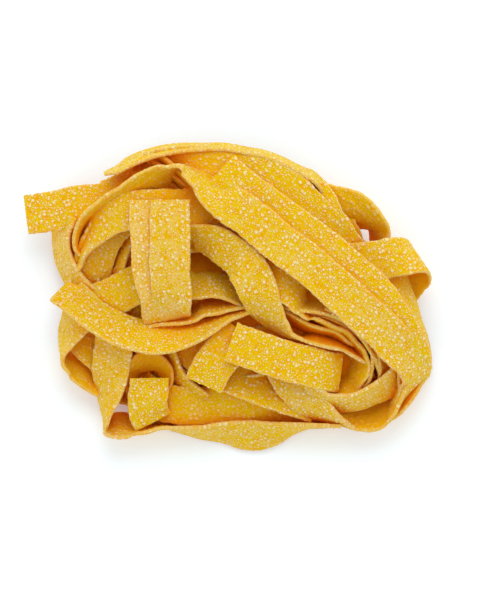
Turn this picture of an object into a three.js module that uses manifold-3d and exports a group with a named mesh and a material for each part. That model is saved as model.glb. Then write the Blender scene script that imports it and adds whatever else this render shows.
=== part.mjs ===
// Dry pasta nest: wide flat egg ribbons dried in a loose oval heap, no two lying alike.
// Millimetres, +Z up. The origin is under the middle of the nest, level with its lowest point.
// The nest is one solid: a flat-bottomed lumpy heap with the larger ribbons lying over it.
import * as THREE from 'three';
import { mergeVertices } from 'three/addons/utils/BufferGeometryUtils.js';
import Module from 'manifold-3d';

const RIBBON_WIDTH = 12;
const RIBBON_THICKNESS = 1.2;
const RIBBON_STEP = 4.5;          // distance between two cross-sections of a ribbon

const HEAP_CENTRE = [0.5, -0.5];
const HEAP_HALF_LENGTH = 52;      // along X, at the foot of the heap
const HEAP_HALF_DEPTH = 40.5;     // along Y
const HEAP_SQUARENESS = 2.5;      // 2 gives an ellipse, more fills out the corners
const HEAP_HEIGHT = 21.5;         // over the middle
const HEAP_BACK_RISE = 6;         // how much the back stands above that, and the front below
const HEAP_LUMP = 0.022;          // unevenness, as a share of the radius
const HEAP_STEPS_ROUND = 56;
const HEAP_STEPS_UP = 9;

const PASTA_COLOUR = 0xdcae31;

// Each ribbon is its centre line, [x, y, z, roll]. The roll is the lean of the width in degrees:
// 0 lies flat, above 0 the left edge is raised, 90 stands on edge, 180 shows the other face.
// The loop on the right has a fifth number, the compass direction of its width.
const RIBBONS = {
  // loose end sticking out flat to the left
  tail: [
    [-60.5, 25, 13, 0], [-53, 26, 13.5, 0], [-46, 27.5, 14.5, -2], [-38, 28.5, 16, -5],
    [-31, 29.5, 17, -8], [-23, 30, 17, -5], [-16, 30, 16, 0], [-8, 29.5, 15, 0],
  ],
  // band standing along the left flank
  leftWall: [
    [-48.5, 26, 13, 50], [-50, 20.5, 11, 62], [-50, 15.5, 10.5, 65], [-49, 11, 10, 63],
    [-46.5, 6, 10, 60], [-43, 1, 10, 50], [-38, -3.5, 10, 40],
  ],
  // ribbon that drops off the left flank and turns back in a tight bend
  leftLoop: [
    [-39.5, 1, 15, 15], [-43, -3, 14, 22], [-46.5, -8, 12.5, 42], [-49, -12.5, 10.5, 62],
    [-50.5, -17, 8.5, 82], [-50, -20, 7, 105], [-48, -21.5, 6.5, 128], [-44, -23, 6, 132],
    [-40, -25, 6, 128], [-35, -27.5, 6, 120], [-29, -30, 6, 110], [-23, -32, 6, 100],
    [-17, -33.5, 6, 95],
  ],
  // ribbon that comes down the front left corner and runs along the front
  frontWave: [
    [-33, -8, 17, 10], [-34, -14, 15.5, 15], [-35, -20, 14, 14], [-35.5, -24.5, 12.5, 30],
    [-36, -29, 11, 50], [-37, -33.5, 9.5, 70], [-37, -36.5, 8, 88], [-36, -39, 7, 112],
    [-33, -38.5, 6.5, 130], [-29, -38.5, 6, 122], [-25, -39.5, 6, 102], [-20, -39, 6, 92],
    [-16, -39.5, 6, 85], [-8, -40.5, 6, 71], [-1, -40.5, 6, 58], [7, -41.5, 5, 40],
    [13, -41, 5.5, 50], [19, -39.5, 6, 72], [26, -38.5, 6, 86], [34, -38.5, 6, 90],
  ],
  // band lying inside the front one
  frontFace: [
    [-26, -28, 8, 5], [-22, -30.5, 8.5, 10], [-16.5, -32, 9, 13], [-11, -32.5, 9, 14],
    [-5, -32.5, 9, 16], [2, -33, 8.5, 22], [10, -33.5, 8, 30], [17, -34, 7.5, 38],
    [25, -35.5, 7, 50],
  ],
  // band round the right front corner, leaning outwards
  rightFoot: [
    [59, -16, 7, 62], [58, -21, 6.5, 60], [55.5, -25, 6, 58], [53, -28.5, 6, 56], [50, -32, 6, 53],
    [47, -34, 6, 51], [44, -36, 6, 49], [40.5, -36, 6, 49], [37, -35.5, 6, 52], [34, -34, 6, 56],
    [30, -31.5, 6, 60], [26, -29, 6.5, 65],
  ],
  // band standing along the back rim
  rimFar: [
    [-36, 37, 19, -80], [-30, 40.5, 19.5, -78], [-23, 43.5, 20, -77], [-16, 44.5, 20.5, -77],
    [-8, 45, 21, -83], [-1, 45, 21, -85], [5, 44.5, 21, -85], [10.5, 43, 21, -84],
    [16, 41, 21, -83], [22, 38, 20, -82], [26, 35.5, 19, -80], [30, 32, 17, -75],
    [34, 26.5, 15, -70],
  ],
  // second band inside the back rim
  rimSecond: [
    [-40.5, 32.5, 14, 60], [-35, 35, 17, 62], [-29, 37, 19, 65], [-23, 39, 20, 68],
    [-17, 39.5, 20, 75], [-10, 38.5, 19, 80], [-4, 36, 18, 80],
  ],
  // ribbon lying on the back of the heap
  topFlat: [
    [-22.5, 38, 18, 40], [-16, 39.5, 21, 30], [-8, 38.5, 24, 10], [-1, 38, 25.5, 0],
    [7, 36, 26, 0], [13.5, 33.5, 26, 0], [19.5, 30.5, 25.5, -3], [24, 26.5, 24.5, -8],
    [28.5, 21.5, 23, -10], [33, 16.5, 20.5, -10], [37.5, 12.5, 18, -8],
  ],
  // ribbon crossing the back right shoulder
  shoulder: [
    [22, 36, 22, 0], [25.5, 31, 22.5, 0], [28.5, 26.5, 22.5, 0], [31.5, 20.5, 21.5, 0],
    [34.5, 15.5, 19.5, 0], [38, 10, 17.5, 0],
  ],
  // open loop at the back right corner
  loopFar: [
    [22, 32.5, 18, 0], [27, 30.5, 19, 10], [32, 29, 19, 18], [37, 27.5, 18, 30],
    [40.5, 25.5, 16.5, 42], [43, 23, 15, 53], [45, 20, 13, 63], [46, 16.5, 11, 70],
    [46, 12.5, 9, 72],
  ],
  // loop standing out on the right
  loopRight: [
    [34, 10, 21, 0, 92], [43, 11, 21.5, 0, 94], [49.5, 12, 21, -3, 97], [53, 12.5, 20, -15, 106],
    [56, 12.5, 17.5, -26, 116], [57.5, 11.5, 14.5, -30, 124], [57.5, 10, 11.5, -22, 130],
    [56.5, 8, 9.5, -10, 134], [54, 5, 8, -3, 136], [52, 2.5, 7, 0, 136], [48, -1, 7, 0, 136],
    [44.5, -4.5, 7, 0, 136],
  ],
  // long diagonal ribbon under the widest one
  diagBack: [
    [-2, 38, 28.5, 0], [3, 33.5, 29, 0], [9, 29, 29, 0], [17, 23, 29, 0], [25.5, 17, 29, 0],
    [35, 9, 28.5, 0], [43, 2, 27, -3], [49, -6, 25, -8], [53, -13, 22, -15], [55.5, -19, 18, -25],
    [56, -24.5, 13, -35],
  ],
  // arch from the left flank that twists over and runs to the front right corner
  archMain: [
    [-43.5, 12.5, 10, 88], [-45, 16.5, 12, 86], [-44, 21, 15, 84], [-41, 26, 18, 80],
    [-37, 30.5, 20, 74], [-32, 33, 22.5, 62], [-27, 35, 24.5, 52], [-22, 35, 26, 48],
    [-17, 36, 27, 56], [-13, 37, 28, 84], [-9.5, 35, 29, 118], [-5.5, 32, 30, 150],
    [0, 28, 31, 172], [7, 23.5, 31.5, 180], [14, 17.5, 31.5, 180], [22, 11.5, 31.5, 180],
    [31, 4, 31, 180], [38, -2.5, 30, 180], [46, -9.5, 27.5, 176], [51.5, -15.5, 24, 166],
    [55, -19, 20, 152], [56.5, -23, 16.5, 136], [55.5, -26.5, 13, 120], [53.5, -30, 9.5, 102],
  ],
  // arch from the left flank that twists twice on its way to the right
  archFront: [
    [-44.5, 12, 11, -82], [-43.5, 15.5, 14, -70], [-40.5, 19, 17.5, -48], [-37, 22.5, 21, -22],
    [-32, 25, 24.5, -4], [-25.5, 25.5, 26.5, 0], [-19, 26, 28, 0], [-13, 26.5, 28.5, -14],
    [-8, 26, 28.5, -45], [-4.5, 23, 28, -78], [-1, 20, 28, -108], [2, 16, 27.5, -138],
    [4.5, 11.5, 27, -162], [7, 5.5, 26, -178], [10.5, -0.5, 24.5, -194], [13.5, -5, 23, -212],
    [17, -9, 21.5, -236], [21, -12, 20, -252], [26, -13.5, 18.5, -252], [31.5, -14.5, 17, -252],
    [36, -16, 15.5, -250], [40, -18.5, 14, -250], [43, -22, 12, -250],
  ],
  // short ribbon falling over the arch towards the front
  fallLeft: [
    [-23, 29, 30, 0], [-23, 22, 30, 0], [-22.5, 14.5, 29.5, 0], [-22, 7, 28, 0], [-20, 0, 25.5, 0],
    [-19.5, -5, 21, 0], [-19, -8, 15, 0],
  ],
  // its neighbour, overlapping it by half a width
  fallRight: [
    [-17, 29, 31.5, 0], [-17, 22, 32, 0], [-17, 14.5, 31.5, 0], [-17, 7, 30, 0],
    [-16.5, 1, 27.5, 0], [-17, -3.5, 23, 0], [-17, -6, 17, 0],
  ],
  // free end on the left that sweeps across the middle
  sweep: [
    [-50.5, 2, 17, -54], [-46, -0.5, 18, -46], [-40, -5, 19, -40], [-33, -9, 20, -36],
    [-25.5, -11.5, 20.5, -36], [-19, -12, 20, -40], [-12, -10.5, 19, -50], [-6, -8, 18, -60],
    [-0.5, -5, 17, -68], [4.5, -3.5, 16, -74], [10.5, -1.5, 15, -76],
  ],
  // ribbon crossing low under the falling ones
  crossLow: [
    [-46, -4.5, 11, 0], [-40, -2, 13, 0], [-34, 0.5, 15, 0], [-28, 3.5, 17, -10],
    [-22, 5, 18, -25], [-16, 5.5, 18, -40], [-10, 3.5, 17.5, -50], [-4, 4, 17, -52],
    [2, 2.5, 16.5, -50], [8, 0, 15, -40], [14, -3, 13, -30],
  ],
  // band down the right flank
  rightBand: [
    [47, 9, 16, -20], [51, 3, 15.5, -45], [54, -2, 14.5, -60], [56, -7, 13.5, -66],
    [58, -12.5, 12, -68], [59, -17.5, 10, -68], [59, -23, 8, -66],
  ],
  // ribbon coming down at the front right
  lowerRight: [
    [14.5, -15.5, 15, 0], [19, -23.5, 15, 5], [22.5, -29, 13, 12], [26.5, -33, 10.5, 25],
    [31, -35.5, 8, 42], [34.5, -38, 6.5, 68], [40, -39, 6, 86],
  ],
  // band bent round the front right corner
  cornerBand: [
    [22, -20.5, 17, 25], [25.5, -25, 16, 55], [30, -29.5, 15, 64], [34.5, -31, 15, 64],
    [39, -30.5, 15, 63], [43.5, -29, 15, 60], [48, -26.5, 15, 55], [51, -23, 15.5, 60],
    [52.5, -19, 15.5, 72],
  ],
  // broken piece lying towards the front
  pieceDown: [
    [4, -10, 19, 0], [-0.5, -15.5, 19.5, 0], [-4.5, -20.5, 19, 0], [-7, -26, 17, 0],
  ],
  // short straight piece lying on top of it
  pieceShort: [
    [1, -13, 23, 0], [8, -15.5, 23.5, 0], [17, -18.5, 23, 0], [25, -20.5, 22, 0], [30, -22, 20, 0],
    [33.5, -22.5, 16.5, 0],
  ],
  // small bent scrap at the front left
  scrap: [
    [-25, -24, 14, 0], [-24.5, -28, 13.5, 0], [-23.5, -32, 12, 2], [-22.5, -36.5, 9, 4],
  ],
};

const wasm = await Module();
wasm.setup();

function toSolid(geometry) {
  const bare = new THREE.BufferGeometry();
  bare.setAttribute('position', geometry.getAttribute('position'));
  bare.setIndex(geometry.getIndex());
  const welded = mergeVertices(bare, 1e-5);
  return new wasm.Manifold(new wasm.Mesh({
    numProp: 3,
    vertProperties: new Float32Array(welded.getAttribute('position').array),
    triVerts: new Uint32Array(welded.getIndex().array),
  }));
}

function toGeometry(solid) {
  const mesh = solid.getMesh();
  const geometry = new THREE.BufferGeometry();
  geometry.setAttribute('position', new THREE.BufferAttribute(mesh.vertProperties, 3));
  geometry.setIndex(new THREE.BufferAttribute(mesh.triVerts, 1));
  geometry.computeVertexNormals();
  return geometry;
}

function fromRings(rings, capStart, capEnd) {
  const around = rings[0].length;
  const positions = rings.flat().flatMap((point) => point.toArray());
  const index = [];
  for (let ring = 0; ring + 1 < rings.length; ring += 1) {
    for (let k = 0; k < around; k += 1) {
      const a = ring * around + k;
      const b = ring * around + ((k + 1) % around);
      index.push(a, b, b + around, a, b + around, a + around);
    }
  }
  const last = (rings.length - 1) * around;
  const hubs = [capStart, capEnd].map((hub) => {
    positions.push(...hub.toArray());
    return positions.length / 3 - 1;
  });
  for (let k = 0; k < around; k += 1) {
    const next = (k + 1) % around;
    index.push(hubs[0], next, k, hubs[1], last + k, last + next);
  }
  const geometry = new THREE.BufferGeometry();
  geometry.setAttribute('position', new THREE.Float32BufferAttribute(positions, 3));
  geometry.setIndex(index);
  return geometry;
}

function middleOf(points) {
  const sum = points.reduce((total, point) => total.add(point), new THREE.Vector3());
  return sum.divideScalar(points.length);
}

// the width direction of a ribbon that travels along `travel`
function widthDirection(travel, roll, compass) {
  const lean = THREE.MathUtils.degToRad(roll);
  if (compass !== undefined) {
    const turn = THREE.MathUtils.degToRad(compass);
    const wanted = new THREE.Vector3(
      Math.cos(turn) * Math.cos(lean), Math.sin(turn) * Math.cos(lean), Math.sin(lean));
    return wanted.addScaledVector(travel, -wanted.dot(travel)).normalize();
  }
  const side = new THREE.Vector3(-travel.y, travel.x, 0).normalize();
  const up = new THREE.Vector3().crossVectors(travel, side).normalize();
  return side.multiplyScalar(Math.cos(lean)).addScaledVector(up, Math.sin(lean));
}

function ribbon(stations) {
  const line = new THREE.CatmullRomCurve3(stations.map(([x, y, z]) => new THREE.Vector3(x, y, z)));
  const spans = stations.length - 1;
  const rings = [];
  for (let span = 0; span < spans; span += 1) {
    const from = stations[span];
    const to = stations[span + 1];
    const length = Math.hypot(to[0] - from[0], to[1] - from[1], to[2] - from[2]);
    const turn = Math.abs(to[3] - from[3]);
    const steps = Math.max(1, Math.round(Math.max(length / RIBBON_STEP, turn / 20)));
    const stop = span === spans - 1 ? steps : steps - 1;
    for (let step = 0; step <= stop; step += 1) {
      const share = step / steps;
      const at = (span + share) / spans;
      const centre = line.getPoint(at);
      const travel = line.getTangent(at);
      const roll = THREE.MathUtils.lerp(from[3], to[3], share);
      const compass = from.length > 4 ? THREE.MathUtils.lerp(from[4], to[4], share) : undefined;
      const width = widthDirection(travel, roll, compass);
      const face = new THREE.Vector3().crossVectors(travel, width);
      const corner = (u, v) => centre.clone()
        .addScaledVector(width, u * RIBBON_WIDTH / 2)
        .addScaledVector(face, v * RIBBON_THICKNESS / 2);
      rings.push([corner(-1, -1), corner(1, -1), corner(1, 1), corner(-1, 1)]);
    }
  }
  return toSolid(fromRings(rings, middleOf(rings[0]), middleOf(rings[rings.length - 1])));
}

// the heap: a squarish oval dome, its back higher than its front, uneven all round
function heap() {
  const rings = [];
  for (let level = 0; level < HEAP_STEPS_UP; level += 1) {
    const rise = level / HEAP_STEPS_UP * Math.PI / 2;
    const ring = [];
    for (let k = 0; k < HEAP_STEPS_ROUND; k += 1) {
      const angle = k / HEAP_STEPS_ROUND * Math.PI * 2;
      const c = Math.cos(angle);
      const s = Math.sin(angle);
      const reach = (Math.abs(c / HEAP_HALF_LENGTH) ** HEAP_SQUARENESS
        + Math.abs(s / HEAP_HALF_DEPTH) ** HEAP_SQUARENESS) ** (-1 / HEAP_SQUARENESS);
      const lump = 1 + HEAP_LUMP * (Math.sin(5 * angle + level) + Math.sin(9 * angle + 2 * level));
      const radius = reach * lump * Math.cos(rise) ** 0.45;
      const top = HEAP_HEIGHT + HEAP_BACK_RISE * s * radius / HEAP_HALF_DEPTH;
      ring.push(new THREE.Vector3(
        HEAP_CENTRE[0] + c * radius, HEAP_CENTRE[1] + s * radius, top * Math.sin(rise) ** 0.9));
    }
    rings.push(ring);
  }
  const foot = new THREE.Vector3(HEAP_CENTRE[0], HEAP_CENTRE[1], 0);
  const crown = new THREE.Vector3(HEAP_CENTRE[0], HEAP_CENTRE[1], HEAP_HEIGHT);
  return toSolid(fromRings(rings, foot, crown));
}

const nest = Object.values(RIBBONS).reduce((body, stations) => body.add(ribbon(stations)), heap());
const geometry = toGeometry(nest);
geometry.computeBoundingBox();
const box = geometry.boundingBox;
geometry.translate(-(box.min.x + box.max.x) / 2, -(box.min.y + box.max.y) / 2, -box.min.z);

const pasta = new THREE.MeshStandardMaterial({ color: PASTA_COLOUR, roughness: 0.8 });
const pastaNest = new THREE.Mesh(geometry, pasta);
pastaNest.name = 'pasta_nest';

const part = new THREE.Group();
part.name = 'dry_pasta_nest';
part.add(pastaNest);

export default part;
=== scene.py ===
import math

import bpy
import numpy as np
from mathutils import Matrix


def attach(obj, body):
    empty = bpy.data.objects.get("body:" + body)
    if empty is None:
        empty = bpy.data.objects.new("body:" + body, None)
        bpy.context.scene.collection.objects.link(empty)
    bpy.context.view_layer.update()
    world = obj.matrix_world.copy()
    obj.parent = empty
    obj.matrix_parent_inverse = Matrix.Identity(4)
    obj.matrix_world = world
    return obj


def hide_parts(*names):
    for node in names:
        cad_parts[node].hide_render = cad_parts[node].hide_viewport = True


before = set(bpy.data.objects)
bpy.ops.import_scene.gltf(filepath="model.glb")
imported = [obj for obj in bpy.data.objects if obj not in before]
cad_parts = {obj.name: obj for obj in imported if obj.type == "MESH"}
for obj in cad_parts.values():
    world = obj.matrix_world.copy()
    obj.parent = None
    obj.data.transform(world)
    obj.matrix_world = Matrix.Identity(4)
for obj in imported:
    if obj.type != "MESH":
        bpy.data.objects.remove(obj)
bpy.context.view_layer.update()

# ---- Dried egg pasta ------------------------------------------------------------------
# Durum dough with egg, rolled through rough rollers and dried hard: golden, a little
# translucent, dusted with pale meal and covered with small cream-coloured grains. Each
# ribbon carries where a point lies on the strip, how dusty it is, and how dense its grains.
# Shade is painted into the colour as well: deeper gold and orange where other ribbons
# close round a point, a deep orange on the lowest-toned ribbons, and a darker halo round
# each grain.
MM = 0.001
WIDTH = 12.0


class Value:
    """An output socket. Python arithmetic on it adds a Math node for each operator."""

    def __init__(self, shop, socket):
        self.shop = shop
        self.socket = socket

    def math(self, operation, *others, flip=False):
        inputs = [self, *others]
        if flip:
            inputs.reverse()
        return self.shop.add("ShaderNodeMath", {"operation": operation},
                             dict(enumerate(inputs)))["Value"]

    def __add__(self, other):
        return self.math("ADD", other)

    def __radd__(self, other):
        return self.math("ADD", other, flip=True)

    def __sub__(self, other):
        return self.math("SUBTRACT", other)

    def __rsub__(self, other):
        return self.math("SUBTRACT", other, flip=True)

    def __mul__(self, other):
        return self.math("MULTIPLY", other)

    def __rmul__(self, other):
        return self.math("MULTIPLY", other, flip=True)

    def __truediv__(self, other):
        return self.math("DIVIDE", other)

    def __rtruediv__(self, other):
        return self.math("DIVIDE", other, flip=True)

    def __pow__(self, other):
        return self.math("POWER", other)

    def __rpow__(self, other):
        return self.math("POWER", other, flip=True)

    def clamp(self):
        return self.math("MINIMUM", 1.0).math("MAXIMUM", 0.0)

    def ramp(self, low, high):
        """0 below low, 1 above high, smooth between; low may be the larger."""
        return self.shop.add("ShaderNodeMapRange", {"interpolation_type": "SMOOTHSTEP"},
                             {"Value": self, "From Min": low, "From Max": high})["Result"]


class Shop:
    """Adds nodes to one tree, with their settings set before their sockets."""

    def __init__(self, tree):
        self.tree = tree
        tree.nodes.clear()

    def find(self, sockets, place):
        """The socket with this name, or at this place, among those that are in use."""
        in_use = [socket for socket in sockets if socket.enabled]
        if isinstance(place, str):
            return next(socket for socket in in_use if socket.name == place)
        return in_use[place]

    def add(self, kind, settings=None, inputs=None):
        """Adds one node and gives its outputs by name."""
        node = self.tree.nodes.new(kind)
        for name, value in (settings or {}).items():
            if name == "capture_items":
                node.capture_items.new(*value)
            else:
                setattr(node, name, value)
        for place, value in (inputs or {}).items():
            socket = self.find(node.inputs, place)
            source = value.socket if isinstance(value, Value) else value
            if isinstance(source, bpy.types.NodeSocket):
                self.tree.links.new(source, socket)
            else:
                socket.default_value = source
        return {socket.name: Value(self, socket) for socket in node.outputs if socket.enabled}


def linear(red, green, blue):
    """A linear colour from the 0 to 255 values that a paint chart gives."""
    shares = [value / 255 for value in (red, green, blue)]
    light = [s / 12.92 if s <= 0.04045 else ((s + 0.055) / 1.055) ** 2.4 for s in shares]
    return (*light, 1.0)


GOLD = linear(235, 189, 0)
AMBER = linear(236, 154, 0)
MEAL = linear(239, 195, 114)
GRAIN = linear(246, 223, 168)
# painted shade: gold where other ribbons half shade a point
HALF_SHADE_GOLD = linear(250, 182, 0)
# painted shade on the lowest-toned ribbons, deep in the heap
LOW_TONE_SHADE = linear(226, 110, 0)
# painted shade: orange where other ribbons fully shade a point
FULL_SHADE_ORANGE = linear(244, 126, 0)

# sizes in mm, and the share of the places that hold a grain
LARGE_GRAINS = {"apart": 1.6, "share": 0.6, "smallest": 0.26, "largest": 0.56}
SMALL_GRAINS = {"apart": 0.72, "share": 0.72, "smallest": 0.14, "largest": 0.27}

# where a grain and the painted shade halo round it end and begin, in radii of the grain
GRAIN_RIM = (1.15, 0.6)
GRAIN_SHADE_RIM = (2.3, 1.1)

# how many of each there are in a metre
SAND = 1250.0
PATCHES = 360.0

# streaks in a millimetre along the strip, across it and through it
STREAKS = (0.16, 1.1, 1.0)

# how far round a point other ribbons shade it, and how far in from the edge a cut is pale
SKY_REACH = 14 * MM
CUT_OUTER = 0.1
CUT_INNER = 0.7

# how much further apart than they are the strip's pattern has its two faces
FACE_APART = 3.0

pasta = bpy.data.materials.new("dried_egg_pasta")
pasta.use_nodes = True
shop = Shop(pasta.node_tree)
strip = shop.add("ShaderNodeAttribute", {"attribute_name": "strip"})["Vector"]
tone = shop.add("ShaderNodeAttribute", {"attribute_name": "tone"})["Fac"]
dots = shop.add("ShaderNodeAttribute", {"attribute_name": "dots"})["Fac"]
place = shop.add("ShaderNodeTexCoord")["Object"]
unrolled = shop.add("ShaderNodeSeparateXYZ", {}, {"Vector": strip})
beside = unrolled["Y"] - unrolled["Z"] / FACE_APART


def noise(shop, at, scale, detail, roughness=0.5):
    return shop.add("ShaderNodeTexNoise", {"noise_dimensions": "3D"},
                    {"Vector": at, "Scale": scale, "Detail": detail, "Roughness": roughness})["Fac"]


def grains(shop, strip, apart, share, smallest, largest):
    """Round grains about `apart` mm apart, 1 on each, and a painted shade halo round each."""
    cells = shop.add("ShaderNodeTexVoronoi", {"voronoi_dimensions": "2D", "feature": "F1"},
                     {"Vector": strip, "Scale": 1 / apart, "Randomness": 1.0})
    luck = shop.add("ShaderNodeSeparateXYZ", {}, {"Vector": cells["Color"]})
    radius = luck["Y"] * ((largest - smallest) / apart) + smallest / apart
    shown = luck["X"].math("LESS_THAN", share)
    reach = cells["Distance"] / radius
    return reach.ramp(*GRAIN_RIM) * shown, reach.ramp(*GRAIN_SHADE_RIM) * shown


# the patterns: sand, patches and streaks of meal, and two sizes of grain, each with a painted shade
# halo
sand = noise(shop, place, SAND, 3.0, 0.7)
patches = noise(shop, place, PATCHES, 3.0, 0.62)
stretch = shop.add("ShaderNodeMapping", {}, {"Vector": strip, "Scale": STREAKS})["Vector"]
streaks = noise(shop, stretch, 1.0, 3.0, 0.6)
large, large_grain_shade = grains(shop, strip, **LARGE_GRAINS)
small, small_grain_shade = grains(shop, strip, **SMALL_GRAINS)
speck = large.math("MAXIMUM", small * 0.85) * dots
grain_shade = large_grain_shade.math("MAXIMUM", small_grain_shade * 0.5) * dots

# where they show: dusty stretches, darker patches, pale cut edges, and painted shade where other
# ribbons close round a point
dusty = patches * 0.4 + sand * 0.4 + streaks * 0.5 + tone * 0.35
dust = dusty.ramp(0.86, 1.06) * (dots * 0.6 + 0.4)
dark = (sand * 0.6 + patches * 0.4).ramp(0.52, 0.40)
cut = beside.math("ABSOLUTE").ramp(WIDTH / 2 - CUT_INNER, WIDTH / 2 - CUT_OUTER)
# painted shade: ambient occlusion from the other ribbons turns the colour deeper gold, then orange
open_sky = shop.add("ShaderNodeAmbientOcclusion", {"samples": 4}, {"Distance": SKY_REACH})["AO"]
half_shade = open_sky.ramp(0.8, 0.45) * (1.0 - cut * 0.7)
deep = open_sky.ramp(0.47, 0.12) * (0.85 - cut * 0.3 - speck * 0.35)

# each layer of colour over the gold dough, and how far it covers what is under it
layers = [
    (dust * 0.85 + cut * 0.6, MEAL),
    # amber: darker patches of the dough, and the painted shade halo round each grain
    (dark * 0.6 + grain_shade * 0.3, AMBER),
    (speck * 0.9, GRAIN),
    # painted shade on the lowest-toned ribbons
    (tone.ramp(0.25, 0.0) * 0.8, LOW_TONE_SHADE),
    # painted shade where other ribbons close round a point: deeper gold in half shade, orange in full
    # shade
    (half_shade * 0.75, HALF_SHADE_GOLD),
    (deep, FULL_SHADE_ORANGE),
]
colour = GOLD
for cover, paint in layers:
    colour = shop.add("ShaderNodeMix", {"data_type": "RGBA"},
                      {"Factor": cover.clamp(), "A": colour, "B": paint})["Result"]
height = speck * 1.3 + patches * 0.2 + sand * 0.7 + streaks * 0.15
bump = shop.add("ShaderNodeBump", {}, {"Strength": 0.55, "Distance": 0.2 * MM, "Height": height})
surface = shop.add("ShaderNodeBsdfPrincipled", {}, {
    "Base Color": colour, "Roughness": (0.72 - speck * 0.12).clamp(), "Normal": bump["Normal"],
    "Specular IOR Level": 0.06, "Subsurface Weight": 0.4, "Subsurface Scale": 1.2 * MM,
    "Subsurface Radius": (1.0, 0.4, 0.05)})
shop.add("ShaderNodeOutputMaterial", {}, {"Surface": surface["BSDF"]})

# ---- The cut ribbon -------------------------------------------------------------------
# Every ribbon is the same strip of dough, 12 mm wide and 1.2 mm thick, cut by rollers that
# leave a slightly ragged edge. It is swept along its centre line and then roughened, and
# each has a seed of its own, so that no two show the same grains.
THICKNESS = 1.2
MESH_SIZE = 0.36
IN_MM = 1000.0

# how many waves each pattern has in a millimetre of ribbon, and the cup in a metre
FINE_GRAIN = 0.75
SHORT_TEARS = 0.9
LONG_TEARS = 0.18
CUP_WAVES = 38.0

# noise stays close to its middle, so each pattern is stretched to reach its full size
GRAIN_STRETCH = 2.6
CUP_STRETCH = 5.0
FRAY_STRETCH = 2.0
CUP_MIDDLE = 0.38

# how far apart in their patterns the ribbons are, from one seed to the next
GRAIN_SHIFT = 61.7
CUP_SHIFT = 7.3
EDGE_SHIFT = 5.1
EDGES_APART = 9.0

# large grains end where these shares of the half width do, and fraying keeps to the edge
GRAIN_LIMIT = (0.97, 0.85)
FRAY_POWER = 10.0

# mm between the points of a centre line, and how finely it is worked out before that
LINE_STEP = 0.4
FINE_STEPS = 8


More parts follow.
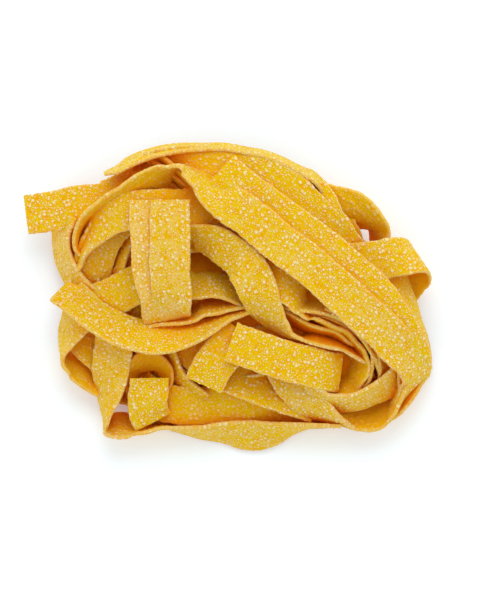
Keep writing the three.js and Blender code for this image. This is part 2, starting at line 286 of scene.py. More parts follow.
def ribbon_tree():
    """Geometry Nodes that turn a line with `across` and `face` directions into a ribbon."""
    tree = bpy.data.node_groups.new("pasta_ribbon", "GeometryNodeTree")
    sizes = {"Width": WIDTH * MM, "Thickness": THICKNESS * MM, "Corner": 0.4 * MM,
             "Mesh size": MESH_SIZE * MM, "Grain": 0.07 * MM, "Fray": 0.46 * MM,
             "Cup": 0.25 * MM, "Bumps": 0.16 * MM, "Seed": 0.0, "Tone": 0.5, "End tone": 0.5,
             "Dots": 1.0, "Back dots": 1.0}
    tree.interface.new_socket("Line", in_out="INPUT", socket_type="NodeSocketGeometry")
    for name, size in sizes.items():
        made = tree.interface.new_socket(name, in_out="INPUT", socket_type="NodeSocketFloat")
        made.default_value = size
    tree.interface.new_socket("Ribbon", in_out="OUTPUT", socket_type="NodeSocketGeometry")
    bench = Shop(tree)
    given = bench.add("NodeGroupInput")

    def direction(name):
        return bench.add("GeometryNodeInputNamedAttribute", {"data_type": "FLOAT_VECTOR"},
                         {"Name": name})["Attribute"]

    def capture(geometry, kind, value):
        """The geometry, and the value as it is at this step, kept for later ones."""
        kept = bench.add("GeometryNodeCaptureAttribute", {"capture_items": (kind, "Kept")},
                         {0: geometry, 1: value})
        return kept["Geometry"], kept["Kept"]

    def vector(operation, *inputs):
        return bench.add("ShaderNodeVectorMath", {"operation": operation},
                         dict(enumerate(inputs)))["Vector"]

    def combine(*values):
        return bench.add("ShaderNodeCombineXYZ", {}, dict(enumerate(values)))["Vector"]

    # the strip's rounded section, swept along its centre line
    line = bench.add("GeometryNodeMeshToCurve", {}, {"Mesh": given["Line"]})["Curve"]
    line = bench.add("GeometryNodeSetCurveNormal", {"mode": "FREE"},
                     {"Curve": line, "Normal": direction("across")})["Curve"]
    way = bench.add("GeometryNodeSplineParameter")
    line, along = capture(line, "FLOAT", way["Length"])
    line, share = capture(line, "FLOAT", way["Factor"])
    section = bench.add("GeometryNodeCurvePrimitiveQuadrilateral", {},
                        {"Width": given["Width"], "Height": given["Thickness"]})["Curve"]
    section = bench.add("GeometryNodeFilletCurve", {"mode": "POLY"},
                        {"Curve": section, "Count": 3, "Radius": given["Corner"]})["Curve"]
    section = bench.add("GeometryNodeResampleCurve", {"mode": "LENGTH"},
                        {"Curve": section, "Length": given["Mesh size"]})["Curve"]
    where = bench.add("GeometryNodeInputPosition")["Position"]
    section, at = capture(section, "VECTOR", where)
    ribbon = bench.add("GeometryNodeCurveToMesh", {},
                       {"Curve": line, "Profile Curve": section, "Fill Caps": True})["Mesh"]

    # where a point lies on the strip, in mm: along it, across it, and on which face
    parts = bench.add("ShaderNodeSeparateXYZ", {}, {"Vector": at})
    beside = parts["X"]
    above = parts["Y"]
    side = beside.math("SIGN")
    out = beside.math("ABSOLUTE") / given["Width"] * 2.0
    seed = given["Seed"]
    strip = combine(along * IN_MM + seed * GRAIN_SHIFT, (beside + above) * IN_MM,
                    above * (FACE_APART * IN_MM))

    # fine grain and large grains stand out, the strip cups a little, and its edge is ragged
    grain = (noise(bench, strip, FINE_GRAIN, 3.0) - 0.5) * given["Grain"] * GRAIN_STRETCH
    raised = grains(bench, strip, **LARGE_GRAINS)[0]
    grain = grain + raised * out.ramp(*GRAIN_LIMIT) * given["Bumps"]
    slow = combine(along * CUP_WAVES, seed * CUP_SHIFT)
    cup = (noise(bench, slow, 1.0, 2.0) - CUP_MIDDLE) * given["Cup"] * CUP_STRETCH
    cup = cup * (1.0 - out ** 2.0)
    edge = combine(along * IN_MM, side * EDGES_APART, seed * EDGE_SHIFT)
    short_tears = noise(bench, edge, SHORT_TEARS, 3.0) - 0.5
    long_tears = noise(bench, edge, LONG_TEARS, 1.0) - 0.5
    ragged = short_tears + long_tears * 0.9
    fray = ragged * given["Fray"] * FRAY_STRETCH * out ** FRAY_POWER * side
    normal = bench.add("GeometryNodeInputNormal")["Normal"]
    moved = vector("ADD", vector("SCALE", normal, grain), vector("SCALE", direction("face"), cup))
    moved = vector("ADD", moved, vector("SCALE", direction("across"), fray))
    ribbon = bench.add("GeometryNodeSetPosition", {}, {"Geometry": ribbon, "Offset": moved})["Geometry"]

    # what the material reads
    face = above.math("GREATER_THAN", 0.0)
    dots = given["Dots"] * face + given["Back dots"] * (1.0 - face)
    tone = given["Tone"] * (1.0 - share) + given["End tone"] * share
    named = {"strip": ("FLOAT_VECTOR", strip), "tone": ("FLOAT", tone), "dots": ("FLOAT", dots)}
    for name, (kind, value) in named.items():
        ribbon = bench.add("GeometryNodeStoreNamedAttribute", {"data_type": kind, "domain": "POINT"},
                           {"Geometry": ribbon, "Name": name, "Value": value})["Geometry"]
    ribbon = bench.add("GeometryNodeSetShadeSmooth", {}, {0: ribbon})["Geometry"]
    ribbon = bench.add("GeometryNodeRealizeInstances", {}, {0: ribbon})["Geometry"]
    ribbon = bench.add("GeometryNodeSetMaterial", {}, {0: ribbon, "Material": pasta})["Geometry"]
    bench.add("NodeGroupOutput", {}, {"Ribbon": ribbon})
    return tree


RIBBON_TREE = ribbon_tree()


def smooth_line(stations):
    """Points LINE_STEP mm apart on a smooth curve through the stations, every column alike."""
    given = np.array(stations, float)
    ends = np.vstack([2 * given[0] - given[1], given, 2 * given[-1] - given[-2]])
    gaps = np.sqrt(np.linalg.norm(np.diff(ends[:, :3], axis=0), axis=1)) + 1e-6
    knots = np.concatenate([[0], np.cumsum(gaps)])
    line = []
    for i in range(1, len(given)):
        p0, p1, p2, p3 = ends[i - 1:i + 3]
        t0, t1, t2, t3 = knots[i - 1:i + 3]
        count = max(2, math.ceil(np.linalg.norm(p2[:3] - p1[:3]) * FINE_STEPS))
        for t in np.linspace(t1, t2, count, endpoint=False):
            a1 = (t1 - t) / (t1 - t0) * p0 + (t - t0) / (t1 - t0) * p1
            a2 = (t2 - t) / (t2 - t1) * p1 + (t - t1) / (t2 - t1) * p2
            a3 = (t3 - t) / (t3 - t2) * p2 + (t - t2) / (t3 - t2) * p3
            b1 = (t2 - t) / (t2 - t0) * a1 + (t - t0) / (t2 - t0) * a2
            b2 = (t3 - t) / (t3 - t1) * a2 + (t - t1) / (t3 - t1) * a3
            line.append((t2 - t) / (t2 - t1) * b1 + (t - t1) / (t2 - t1) * b2)
    line.append(given[-1])
    line = np.array(line)
    walked = np.concatenate([[0], np.cumsum(np.linalg.norm(np.diff(line[:, :3], axis=0), axis=1))])
    steps = np.linspace(0, walked[-1], max(3, round(walked[-1] / LINE_STEP) + 1))
    return np.stack([np.interp(steps, walked, column) for column in line.T], axis=1)


def directions(centre, lean, compass=None):
    """The width direction and the face direction of a ribbon at each point of its line.

    Lean 0 lies flat, above 0 the left edge is up, 90 stands on edge and 180 is turned over.
    A compass direction for the width is given where the line itself is too steep to say.
    """
    travel = np.gradient(centre, axis=0)
    travel /= np.linalg.norm(travel, axis=1)[:, None]
    lean = np.radians(lean)[:, None]
    if compass is None:
        left = np.stack([-travel[:, 1], travel[:, 0], 0 * travel[:, 0]], axis=1)
        left /= np.linalg.norm(left, axis=1)[:, None]
        up = np.cross(travel, left)
        across = left * np.cos(lean) + up * np.sin(lean)
    else:
        turn = np.radians(compass)[:, None]
        across = np.hstack([np.cos(turn) * np.cos(lean), np.sin(turn) * np.cos(lean), np.sin(lean)])
        across -= (across * travel).sum(1)[:, None] * travel
        across /= np.linalg.norm(across, axis=1)[:, None]
    return across, np.cross(travel, across)


seeds = iter(range(1, 400))


def ribbon(name, stations, tone, end_tone=None, dots=1.0, back=None, mesh_size=MESH_SIZE):
    """One ribbon through its stations (x, y, z, lean and perhaps compass), in mm and degrees."""
    line = smooth_line(stations)
    across, face = directions(line[:, :3], line[:, 3], line[:, 4] if line.shape[1] > 4 else None)
    mesh = bpy.data.meshes.new(name + "_line")
    mesh.from_pydata((line[:, :3] * MM).tolist(), [(i, i + 1) for i in range(len(line) - 1)], [])
    for label, values in (("across", across), ("face", face)):
        mesh.attributes.new(label, "FLOAT_VECTOR", "POINT").data.foreach_set("vector", values.ravel())
    piece = bpy.data.objects.new(name, mesh)
    bpy.context.scene.collection.objects.link(piece)
    sweep = piece.modifiers.new("sweep", "NODES")
    sweep.node_group = RIBBON_TREE
    given = {"Seed": float(next(seeds)), "Tone": tone, "Dots": dots, "Mesh size": mesh_size * MM,
             "End tone": tone if end_tone is None else end_tone,
             "Back dots": dots if back is None else back}
    for item in RIBBON_TREE.interface.items_tree:
        if item.name in given:
            sweep[item.identifier] = given[item.name]
    swept = piece.evaluated_get(bpy.context.evaluated_depsgraph_get())
    piece.data = bpy.data.meshes.new_from_object(swept)
    piece.data.name = name
    piece.modifiers.remove(sweep)
    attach(piece, "root")
    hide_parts("pasta_nest")


# ---- Hidden coils ---------------------------------------------------------------------
# The first turns of the ribbon are coiled loosely on the surface and carry all the others.
# Each is a little over one oval turn with flattened sides. They hardly show, so their mesh
# is coarser.
COIL_MESH_SIZE = 0.95
COIL_STATIONS = 23
COIL_STEP = 18
COIL_WAVES = 0.5
FLATTENED = 2.5
TIGHTER = 0.003


def coil(name, half_length, half_depth, back, height, lean, start, wander, slope=0.0):
    """A loose oval turn of ribbon whose middle is `back` mm behind the nest's."""
    stations = []
    for i in range(COIL_STATIONS):
        angle = math.radians(start + COIL_STEP * i)
        loose = wander * (math.sin(3 * angle + start) + math.sin(5 * angle + 2 * start)) / 2
        squeeze = 1 - TIGHTER * i
        cosine = math.cos(angle)
        sine = math.sin(angle)
        reach = (abs(cosine) ** FLATTENED + abs(sine) ** FLATTENED) ** (-1 / FLATTENED)
        aside = cosine * reach * (half_length * squeeze + loose)
        away = sine * reach * (half_depth * squeeze + loose)
        lift = slope * away + COIL_WAVES * math.sin(4 * angle)
        stations.append((aside, away + back, height + lift, lean))
    ribbon(name, stations, tone=0.4, mesh_size=COIL_MESH_SIZE)


coil("coil_foot", 40, 29, 4.0, 6.9, 80, 30, 1.2)
coil("coil_inside", 36, 23, 2.0, 6.0, 58, 140, 1.5)
coil("coil_low", 30, 17, 0.0, 4.0, 22, 250, 1.5)
coil("coil_middle", 35, 26, 4.0, 10.0, 58, 80, 1.5, slope=0.15)
coil("coil_upper", 31, 17, 3.0, 11.5, 30, 200, 1.5, slope=0.15)

# ---- Bands standing round the foot ----------------------------------------------------
# The outermost turns of the nest stand on edge on the surface, bent round its corners.
# They were still soft when they were laid, so some fold back on themselves.
ribbon("front_wave", [
    (-33, -8, 17, 10), (-34, -14, 15.5, 15), (-35, -20, 14, 14), (-35.5, -24.5, 12.5, 30),
    (-36, -29, 11, 50), (-37, -33.5, 9.5, 70), (-37, -36.5, 8, 88), (-36, -39, 7, 112),
    (-33, -38.5, 7, 130), (-29, -38.5, 6.5, 122), (-25, -39.5, 6.5, 102), (-20, -39, 6.5, 92),
    (-16, -39.5, 6.5, 85), (-8, -40.5, 6.5, 71), (-1, -40.5, 6, 58), (7, -41.5, 5, 40),
    (13, -41, 6, 50), (19, -39.5, 6.5, 72), (26, -38.5, 6.5, 86), (34, -38.5, 6.5, 90),
], tone=0.75, end_tone=0.6, dots=0.9, back=0.8)
ribbon("left_loop", [
    (-39.5, 1, 15, 15), (-43, -3, 14, 22), (-46.5, -8, 12.5, 42), (-49, -12.5, 10.5, 62),
    (-50, -16, 9, 84), (-49, -18.5, 8, 108), (-46.5, -20, 7, 130), (-42.5, -22.5, 6, 140),
    (-38.5, -24.5, 5, 148), (-33.5, -26, 4.5, 150), (-28.5, -28, 5, 142), (-23, -30.5, 5.5, 125),
    (-17, -32.5, 6, 104),
], tone=0.85, end_tone=0.3, dots=0.8, back=0.4)
ribbon("right_foot", [
    (58, -22, 7, 62), (55.5, -25, 6.5, 58), (53, -28.5, 6.5, 56), (50, -32, 6.5, 53),
    (47, -34, 6, 51), (44, -36, 6, 49), (40.5, -36, 6, 49), (37, -35.5, 6, 52), (34, -34, 6, 56),
    (30, -31.5, 6, 60), (26, -29, 6.5, 65),
], tone=0.35, dots=0.35, back=0.6)
ribbon("left_wall", [
    (-48.5, 26, 13, 50), (-50, 20.5, 11, 62), (-50, 15.5, 10.5, 65), (-49, 11, 10, 63),
    (-46.5, 6, 10, 60), (-43, 1, 10, 50), (-38, -3.5, 10, 40),
], tone=0.85, dots=0.9)

# ---- Back rim -------------------------------------------------------------------------
# Three long turns stand almost upright along the back, one inside the other. They were
# pushed up against each other while soft and dried so.
ribbon("rim_far", [
    (-36, 37.5, 18.5, -86), (-33, 38.5, 19, -80), (-29.5, 40.5, 20, -75), (-23, 43, 20, -75),
    (-16, 44.5, 20.5, -76), (-8, 45, 21, -80), (-1, 45, 21, -80), (5, 44, 21, -80),
    (10.5, 43, 21, -80), (16, 41, 21, -80), (21, 38.5, 20, -80), (25.5, 36, 18.5, -78),
    (28.5, 33, 15.5, -75), (31.5, 29.5, 12.5, -70),
], tone=0.5)
ribbon("rim_second", [
    (-37, 30, 13, -28), (-32, 32, 15, -32), (-25, 35, 17, -36), (-17.5, 36, 18, -36),
    (-11, 35, 18, -34), (-6, 32, 17, -30),
], tone=0.45)
ribbon("rim_third", [
    (-28, 39, 16, -62), (-23, 40.5, 17, -60), (-16, 42, 18, -60), (-8, 42.5, 18.5, -60),
    (1, 42.5, 18.5, -60), (8, 41, 18, -60), (16, 38.5, 17, -60), (22, 35.5, 16, -60),
    (26.5, 32, 14.5, -60), (31, 27.5, 12.5, -60),
], tone=0.45)

# ---- Lower front ----------------------------------------------------------------------
# The band inside the front one, a small arch that dried in a tight bend, and the two
# ribbons seen down in the gap behind it. They lie loose on the coils.
ribbon("front_face", [
    (-26, -28, 8, 5), (-22, -30.5, 8.5, 10), (-16.5, -32, 9, 13), (-11, -32.5, 9, 14),
    (-5, -32.5, 9, 16), (2, -33, 8.5, 22), (10, -33.5, 8, 30), (17, -34, 7.5, 38),
    (25, -35.5, 7, 50), (32, -36.5, 7, 65),
], tone=0.35, dots=0.6)
# its low tone paints a deep shade into its colour
ribbon("arch_small", [
    (-28.5, -27.5, 6, 80), (-28, -23.5, 8.5, 66), (-26, -21, 11, 52), (-24, -20, 11.5, 45),
    (-21.5, -21, 11, 52), (-20, -23.5, 8.5, 68), (-19.5, -27.5, 6, 82),
], tone=0.12, dots=0.25, back=0.25)
ribbon("hollow_a", [
    (-20, -14, 10, 60), (-18, -18.5, 10, 60), (-16, -23.5, 9.5, 60), (-12.5, -27.5, 9, 60),
    (-8, -31, 8, 60),
], tone=0.4)
ribbon("hollow_b", [
    (-16.5, -11, 12, 0), (-11, -14.5, 12.5, 0), (-6, -19, 12.5, -8), (0, -22.5, 12.5, -15),
    (6, -25, 12.5, -22), (12, -27.5, 12, -25), (17, -29, 11, -20), (22, -30.5, 9.5, -14),
    (26.5, -32, 8, -8),
], tone=0.4)
# ---- Inside of the left flank ---------------------------------------------------------
# A dusty length under the bend of the left band, and the band that climbs the flank from
# inside and runs in under the free end.
ribbon("left_under", [
    (-45, -9.5, 9, 0), (-42, -13, 9.5, 0), (-38, -16.5, 9.5, 0), (-33.5, -20.5, 9, 0),
    (-28.5, -24, 8, 0),
], tone=0.4)
ribbon("left_inner", [
    (-43, 0.5, 9, 0), (-41.5, 5, 11, 0), (-40.5, 9.5, 13, 5), (-39, 14.5, 15, 8),
    (-36.5, 19, 17, 10), (-33, 23.5, 18, 5), (-28, 27, 18, 0),
], tone=0.65)
# ---- Short lengths deep in the heap ---------------------------------------------------
# Lower turns of the nest that close the gaps between the upper ribbons. They have few
# grains, and their low tone paints a deep orange shade into their colour, for the light
# that reaches them only through the dough.
ribbon("hollow_c", [
    (-34, 5.5, 6.5, 62), (-32, 8, 7, 68), (-29.5, 11, 8, 74), (-27, 13.5, 8.5, 74),
], tone=0.1, dots=0.4)
ribbon("deep_f", [
    (-25.5, -32.5, 3, 0), (-14, -33, 3, 0), (-2, -34, 3, 0), (10, -34, 3, 0), (19, -34, 3, 0),
], tone=0.1, dots=0.5)
ribbon("under_arch_c", [
    (-21, 36.5, 14.5, 80), (-18, 34, 16, 80), (-14, 30.5, 16, 78),
], tone=0.1, dots=0.3)
ribbon("deep_a", [
    (-24.5, 11, 9.5, -20), (-14, 11, 9, -30), (-5, 10.5, 9, -36), (2.5, 8.5, 9, -36),
    (9, 4, 9.5, -30),
], tone=0.05, dots=0.5)
ribbon("deep_b", [
    (-4.5, -11, 10, 0), (2.5, -6.5, 11, 0), (10.5, -5.5, 11.5, 0), (17, -7, 12.5, 0),
    (25, -10.5, 12.5, 0), (31.5, -14, 12, 0), (37, -18.5, 11, 0), (38, -24, 10, 0),
    (34.5, -29, 9, 0),
], tone=0.05, dots=0.5)
ribbon("deep_c", [
    (16, 0, 14, 5), (23, -3.5, 15, 8), (31, -6.5, 14.5, 8), (37.5, -10.5, 13.5, 8),
    (42, -15.5, 12.5, 5), (44.5, -21.5, 11, 0), (43.5, -27.5, 9, 0),
], tone=0.05, dots=0.5)
ribbon("deep_d", [
    (-26, -1, 12, 0), (-17, -1, 12, 0), (-8, -2.5, 11.5, 0), (-1, -4, 11, 0), (7, -7, 10.5, 0),
], tone=0.05, dots=0.5)
ribbon("deep_e", [
    (-30.5, -24.5, 5.5, 0), (-23, -23.5, 6, 0), (-16, -23.5, 5.5, 0), (-8, -26, 5, 0),
    (-1, -28, 4, 0),
], tone=0.05, dots=0.5)
ribbon("left_fill", [
    (-39.5, 27, 7, 10), (-43, 23, 6.5, 10), (-45, 17.5, 6.5, 10), (-44, 11.5, 6.5, 10),
    (-40.5, 6, 6.5, 10),
], tone=0.4)
# ---- Crossings under the top ----------------------------------------------------------
# One ribbon comes up from the lower left and passes behind the two short ends. The wavy
# edge above the long bow is another that stands on edge.
ribbon("cross_low", [
    (-46, -4.5, 11, 0), (-40, -2, 13, 0), (-34, 0.5, 15, 0), (-28, 3.5, 17, -10),
    (-22, 5, 18, -25), (-16, 5.5, 18, -40), (-10, 3.5, 17.5, -50), (-4, 4, 17, -52),
    (2, 2.5, 16.5, -50), (8, 0, 15, -40), (14, -3, 13, -30),
], tone=0.4)
ribbon("wavy", [
    (-23, -8, 13, -85), (-19.5, -7.5, 14, -85), (-14, -7, 14.5, -84), (-10.5, -5.5, 15, -76),
    (-7.5, -3, 15.5, -66), (-3.5, -2.5, 15.5, -66), (1, -2, 15.5, -74), (4.5, -2, 15, -82),
    (9, -2.5, 14, -85),
], tone=0.5)
# ---- Bundle in the mouth of the main arch ---------------------------------------------
# Ends of lower turns that stand on edge side by side, caught as the arch closed over
# them.
# their low tone paints a deep shade into their colour
ribbon("under_arch_a", [
    (-20, 41.5, 18, 80), (-16.5, 38.5, 20.5, 80), (-13, 35, 22, 80), (-9.5, 31, 22, 78),
    (-5, 26.5, 20, 70),
], tone=0.1, dots=0.3)
ribbon("under_arch_b", [
    (-21, 39, 16.5, 80), (-17.5, 36.5, 18.5, 80), (-14, 33.5, 19.5, 80), (-10.5, 29.5, 19, 75),
], tone=0.1, dots=0.3)

# ---- Front right corner ---------------------------------------------------------------
# Bands bent tightly round the corner, one inside the other, with their cut edges up, and
# the dusty ribbon that goes down to the front before them. Each leans on the one outside.
ribbon("lower_right", [
    (14, -15, 15, 0), (17.5, -21.5, 15.5, 3), (21, -27, 15, 12), (25, -32, 14, 36),
    (28.5, -35, 12, 55), (31.5, -37, 9.5, 70), (34, -38, 7.5, 84), (36, -38.5, 6.5, 90),
], tone=0.8)
ribbon("corner_band", [
    (20.5, -23, 16.5, 25), (24, -27.5, 16, 52), (28.5, -31, 15, 63), (34, -31.5, 15, 64),
    (39, -31, 15, 63), (43.5, -29, 15, 60), (48, -26.5, 15, 55), (51, -23, 15.5, 60),
    (52.5, -19, 15.5, 72),
], tone=0.75)
ribbon("corner_strip", [
    (52.5, -21, 14.5, 70), (52, -25, 13, 74), (51, -29, 11.5, 76), (50, -32, 10, 78),
    (49, -34, 8.5, 80),
], tone=0.6)
ribbon("right_band", [
    (47, 9, 16, -20), (51, 3, 15.5, -45), (54, -2, 14.5, -60), (56, -7, 13.5, -66),
    (58, -12.5, 12, -68), (59, -17.5, 10, -68), (59, -23, 8, -66),
], tone=0.7)
ribbon("stack_a", [
    (10.5, 9, 24, 0), (14.5, 6.5, 25, -4), (18, 4, 24.5, -16), (21, 1, 23.5, -43),
    (22.5, -2, 21.5, -70), (24, -5, 20, -88), (27.5, -7.5, 19.5, -100), (31, -9.5, 19, -103),
    (34.5, -11, 18, -104), (37, -13.5, 17, -104), (39, -16, 16, -108), (39.5, -18, 15.5, -116),
    (39.5, -20.5, 15, -124), (38, -23, 14, -128), (36.5, -25, 12.5, -128), (34, -26, 11.5, -124),
    (31, -27, 10.5, -118),
], tone=0.4, back=0.5)
ribbon("stack_a2", [
    (13.5, -3.5, 16, 74), (16.5, -5, 17, 76), (20, -7, 17.5, 77), (24, -9, 17, 78),
    (27.5, -10, 16.5, 79), (31.5, -11, 15.5, 80), (34.5, -13, 14, 82), (37, -14.5, 11.5, 84),
    (38, -17, 8.5, 86),
], tone=0.3, dots=0.4)
ribbon("stack_b", [
    (19, -1.5, 19, -70), (21, -2, 20, -72), (24.5, -2.5, 20.5, -74), (28, -3, 21, -75),
    (31.5, -4, 20.5, -76), (34.5, -5.5, 20, -78), (37.5, -7.5, 19, -80), (40, -10, 18.5, -82),
    (42, -12.5, 17.5, -84), (43, -15, 16.5, -86), (43.5, -18, 15, -86), (43.5, -21, 14, -84),
    (43, -24.5, 12.5, -78), (41, -27.5, 11, -70),
], tone=0.45)
ribbon("stack_b2", [
    (22, -4.5, 17, 78), (24.5, -5.5, 17.5, 78), (28, -6.5, 18, 78), (31, -7.5, 18, 78),
    (34, -9, 17, 80), (37, -11, 15, 82), (38.5, -13, 12, 84),
], tone=0.3, dots=0.4)
ribbon("stack_c", [
    (28.5, -2.5, 21, -85), (32.5, -4, 20.5, -85), (35.5, -5.5, 20, -86), (38.5, -7, 19, -86),
    (41.5, -9.5, 18.5, -86), (43.5, -12.5, 17.5, -84), (45, -15.5, 16, -82),
    (46, -18.5, 14.5, -80), (46.5, -22, 12.5, -76), (46.5, -26, 10, -70),
], tone=0.4)
ribbon("stack_d", [
    (33, -1.5, 22, -50), (37.5, -5, 21.5, -55), (41, -8.5, 20.5, -55), (44.5, -12.5, 19, -50),
    (47, -16, 17, -44), (49, -20, 15, -38), (50, -24, 12, -34), (49.5, -28, 9.5, -34),
], tone=0.4)

# ---- Broken pieces --------------------------------------------------------------------
# Short lengths that snapped off as the nest dried. Two lie one over the other on its
# front, and a small one with square ends has folded over the front left.
ribbon("piece_down", [
    (4, -10, 19, 0), (-0.5, -15.5, 19.5, 0), (-4.5, -20.5, 19, 0), (-7, -26, 17, 0),
], tone=0.45)
ribbon("piece_short", [
    (1, -13, 23, 0), (8, -15.5, 23.5, 0), (17, -18.5, 23, 0), (25, -20.5, 22, 0), (30, -22, 20, 0),
    (33.5, -22.5, 16.5, 0),
], tone=0.4)
ribbon("scrap", [
    (-23.5, -24, 15, 0), (-23.5, -27, 15, 0), (-24, -30, 14.5, 0), (-24, -32.5, 13.5, 0),
    (-23.5, -35, 12, 0), (-22.5, -37, 10.5, 0),
], tone=0.5)

# ---- Back right loops -----------------------------------------------------------------
# The ribbon swings out of the heap at the right and comes back in under itself, and at
# the back right it leaves an open gap. Both bends set as the dough dried.
ribbon("loop_far", [
    (22, 30.5, 16.5, 0), (27, 29, 17.5, 5), (32, 28, 18, 14), (37, 27, 17.5, 28),
    (40.5, 25, 16.5, 42), (43, 22.5, 15, 53), (45, 20, 13, 62), (45.5, 16.5, 11, 70),
    (46, 12.5, 9, 72), (45, 8, 8, 72), (43.5, 3.5, 7.5, 70), (41.5, -0.5, 7, 66),
    (38.5, -4, 7, 60),
], tone=0.3, dots=0.5)
ribbon("shoulder", [
    (25, 30.5, 20.5, 0), (27, 28, 21.5, 0), (29, 23.5, 21.5, 0), (31.5, 20, 21, 0),
    (34.5, 15.5, 19.5, 0), (37.5, 11, 17.5, 0), (40, 7.5, 15, 0),
], tone=0.5, end_tone=0.6)
ribbon("shoulder_low", [
    (27.5, 28, 15.5, 0), (31, 23.5, 15.5, 0), (34, 18.5, 15, 0), (36, 14, 13, 0), (37, 9, 10, 0),
], tone=0.3, dots=0.5)
ribbon("loop_right", [
    (34, 10, 21, 0, 92), (43, 11, 21.5, 0, 94), (49.5, 12, 21, -3, 97), (53, 12.5, 20, -15, 106),
    (56, 12.5, 17.5, -26, 116), (57.5, 11.5, 14.5, -30, 124), (57.5, 10, 11.5, -22, 130),
    (56.5, 8, 9.5, -10, 134), (54, 5, 8, -3, 136), (52, 2.5, 7, 0, 136), (48, -1, 7, 0, 136),
    (44.5, -4.5, 7, 0, 136),
], tone=0.6, back=0.15)

# ---- Free end on the left -------------------------------------------------------------
# One end left the nest before it dried and sticks out flat, cut square by the cutter.
# Its other end is held under the arches.
ribbon("tail", [
    (-60.5, 25, 13, 0), (-53, 26, 13.5, 0), (-46, 27.5, 14.5, -2), (-38, 28.5, 16, -5),
    (-31, 29.5, 17, -8), (-23, 30, 17, -5), (-16, 30, 16, 0), (-8, 29.5, 15, 0),
], tone=0.45)

# ---- Long diagonals -------------------------------------------------------------------
# The last turns laid over the top run from the back left to the front right corner. The
# widest rises up the left flank first and bends sharply over at the back.
ribbon("top_flat", [
    (-23, 39, 18, 40), (-16, 40, 21, 30), (-8, 39.5, 24, 10), (-0.5, 38.5, 25.5, 0),
    (7.5, 37, 26, 0), (14, 34, 26, 0), (19.5, 31, 25.5, -3), (24, 26.5, 24.5, -8),
    (28.5, 21.5, 23, -10), (33, 16.5, 20.5, -10), (37.5, 12.5, 18, -8),
], tone=0.4)
ribbon("diag_back", [
    (-2, 38, 28.5, 0), (3, 33.5, 29, 0), (9, 29, 29, 0), (17, 23, 29, 0), (25.5, 17, 29, 0),
    (35, 9, 28.5, 0), (43, 2, 27, -3), (49, -6, 25, -8), (53, -13, 22, -15), (55.5, -19, 18, -25),
    (56, -24.5, 13, -35),
], tone=0.35)
ribbon("arch_main", [
    (-43.5, 12.5, 10, 88), (-45, 16.5, 12, 86), (-44, 21, 15, 84), (-41, 25, 18, 80),
    (-37, 27.5, 20, 76), (-34, 29, 21.5, 69), (-30, 30.5, 23, 61), (-25.5, 33, 25.5, 52),
    (-22, 35, 27, 50), (-19, 37, 28, 62), (-17, 38, 28.5, 76), (-14.5, 39, 29, 90),
    (-12, 38, 29, 104), (-10, 36.5, 29.5, 114), (-7.5, 34.5, 29.5, 122), (-5, 32, 30, 137),
    (-2.5, 30, 30.5, 153), (0.5, 28, 31, 170), (7, 23.5, 31.5, 180), (14, 17.5, 31.5, 180),
    (22, 11.5, 31.5, 180), (31, 4, 31, 180), (38, -2.5, 30, 180), (46, -9.5, 27.5, 176),
    (51.5, -15.5, 24, 166), (55, -19, 20, 152), (56.5, -23, 16.5, 136), (55.5, -26.5, 13, 120),
    (53.5, -30, 9.5, 102),
], tone=0.4, end_tone=0.75, dots=0.5, back=1.0)

# ---- Arches and the falls over them ---------------------------------------------------
# One ribbon arches up from the left flank and runs in under the diagonals. Another turns
# over as it comes out and ends on edge at the right. Two short ends fall to the front.
ribbon("arch_front", [
    (-44.5, 12, 11, -82), (-43.5, 15.5, 14, -70), (-41, 19.5, 17.5, -48), (-37.5, 23, 21, -22),
    (-32, 25.5, 24.5, -4), (-25.5, 26, 26.5, 0), (-19, 26.5, 27.5, 0), (-13, 26.5, 27, 0),
    (-7.5, 27.5, 25, 0), (-1.5, 27.5, 23, 0), (4, 25.5, 21.5, 0),
], tone=0.6, end_tone=0.4, back=0.85)
ribbon("twist", [
    (-12.5, 18.5, 22, 66), (-10.5, 18.5, 23, 62), (-9, 18, 23.5, 55), (-7, 17.5, 24, 47),
    (-3, 16, 25.5, 33), (1, 13.5, 26, 30), (4, 11, 27, 20), (6, 8.5, 28.5, 6), (8, 5, 28, 2),
    (9.5, 1, 27, 12), (11, -3, 24, 33), (13, -6, 21.5, 54), (15.5, -8.5, 20, 69),
    (18.5, -11, 19, 84), (22, -12, 18.5, 93), (25.5, -12, 18.5, 106), (30, -13, 18, 107),
    (34.5, -14, 16.5, 106), (38, -16, 15.5, 103), (41, -18, 12.5, 100), (43, -20.5, 8.5, 96),
], tone=0.5, end_tone=0.9, back=0.3)
ribbon("fall_left", [
    (-23, 29, 30, 0), (-23, 22, 30, 0), (-22.5, 14.5, 29.5, 0), (-22, 7, 28, 0), (-20, 0, 25.5, 0),
    (-19.5, -5, 21, 0), (-19, -8, 15, 0),
], tone=0.9)
ribbon("fall_right", [
    (-17, 29, 31.5, 0), (-17, 22, 32, 0), (-17, 14.5, 31.5, 0), (-17, 7, 30, 0),
    (-16.5, 1, 27.5, 0), (-17, -3.5, 23, 0), (-17, -6, 17, 0),
], tone=0.75)

# ---- Sweep across the front -----------------------------------------------------------
# A ribbon from the left flank sweeps over the front of the heap in one long bow, leaning
# outwards, and ends on edge under the diagonals.
ribbon("sweep", [
    (-50.5, 2, 17, -54), (-46, -0.5, 18, -46), (-40, -5, 19, -40), (-33, -9, 20, -36),
    (-25.5, -11.5, 20.5, -36), (-19, -12, 20, -40), (-12, -10.5, 19, -50), (-6, -8, 18, -60),
    (-0.5, -5, 17, -68), (4.5, -3.5, 16, -74), (10.5, -1.5, 15, -76),
], tone=0.45)

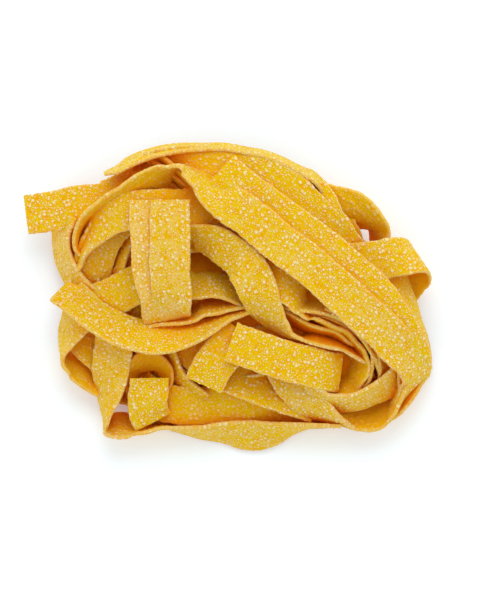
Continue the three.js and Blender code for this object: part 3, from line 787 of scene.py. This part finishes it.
# ---- Floor, light and camera ----------------------------------------------------------
# A white sheet of paper that gives off a little light of its own, under a broad soft light
# from the back, in a bright room. The camera looks straight down from far away.
COOL_LIGHT = (0.91, 1.0, 1.0)
FLOOR_REACH = 2
KEY_PLACE = (0.04, 0.62, 0.82)
LENS = 250.0
SENSOR = 36.0
VIEW_LONG_SIDE = 182.7 * MM
VIEW_MIDDLE = (3.75 * MM, -1.95 * MM, 15 * MM)

floor_mesh = bpy.data.meshes.new("floor")
floor_corners = [(x * FLOOR_REACH, y * FLOOR_REACH, 0) for x, y in ((-1, -1), (1, -1), (1, 1), (-1, 1))]
floor_mesh.from_pydata(floor_corners, [], [(0, 1, 2, 3)])
floor = bpy.data.objects.new("floor", floor_mesh)
bpy.context.scene.collection.objects.link(floor)
paper = bpy.data.materials.new("white_paper")
paper.use_nodes = True
paper_look = paper.node_tree.nodes["Principled BSDF"]
paper_look.inputs["Base Color"].default_value = (0.93, 0.95, 1.0, 1)
paper_look.inputs["Roughness"].default_value = 0.9
paper_look.inputs["Specular IOR Level"].default_value = 0.0
paper_look.inputs["Emission Color"].default_value = (0.98, 0.99, 1.0, 1)
paper_look.inputs["Emission Strength"].default_value = 0.14
floor_mesh.materials.append(paper)

world = bpy.data.worlds.new("soft_room")
world.use_nodes = True
world.node_tree.nodes["Background"].inputs["Color"].default_value = (*COOL_LIGHT, 1)
world.node_tree.nodes["Background"].inputs["Strength"].default_value = 0.88
bpy.context.scene.world = world

key_lamp = bpy.data.lights.new("key", "AREA")
key_lamp.shape = "DISK"
key_lamp.size = 0.7
key_lamp.energy = 3.3
key_lamp.color = COOL_LIGHT
key = bpy.data.objects.new("key", key_lamp)
bpy.context.scene.collection.objects.link(key)
key.location = KEY_PLACE
key_x, key_y, key_z = KEY_PLACE
key_tilt = math.atan2(math.hypot(key_x, key_y), key_z)
key.rotation_euler = (key_tilt, 0, math.atan2(-key_y, -key_x) - math.pi / 2)

camera_data = bpy.data.cameras.new("camera")
camera_data.lens = LENS
camera_data.sensor_width = SENSOR
camera = bpy.data.objects.new("camera", camera_data)
bpy.context.scene.collection.objects.link(camera)
view_x, view_y, view_z = VIEW_MIDDLE
camera.location = (view_x, view_y, view_z + VIEW_LONG_SIDE * LENS / SENSOR)
bpy.context.scene.camera = camera
bpy.context.scene.view_settings.view_transform = "Standard"
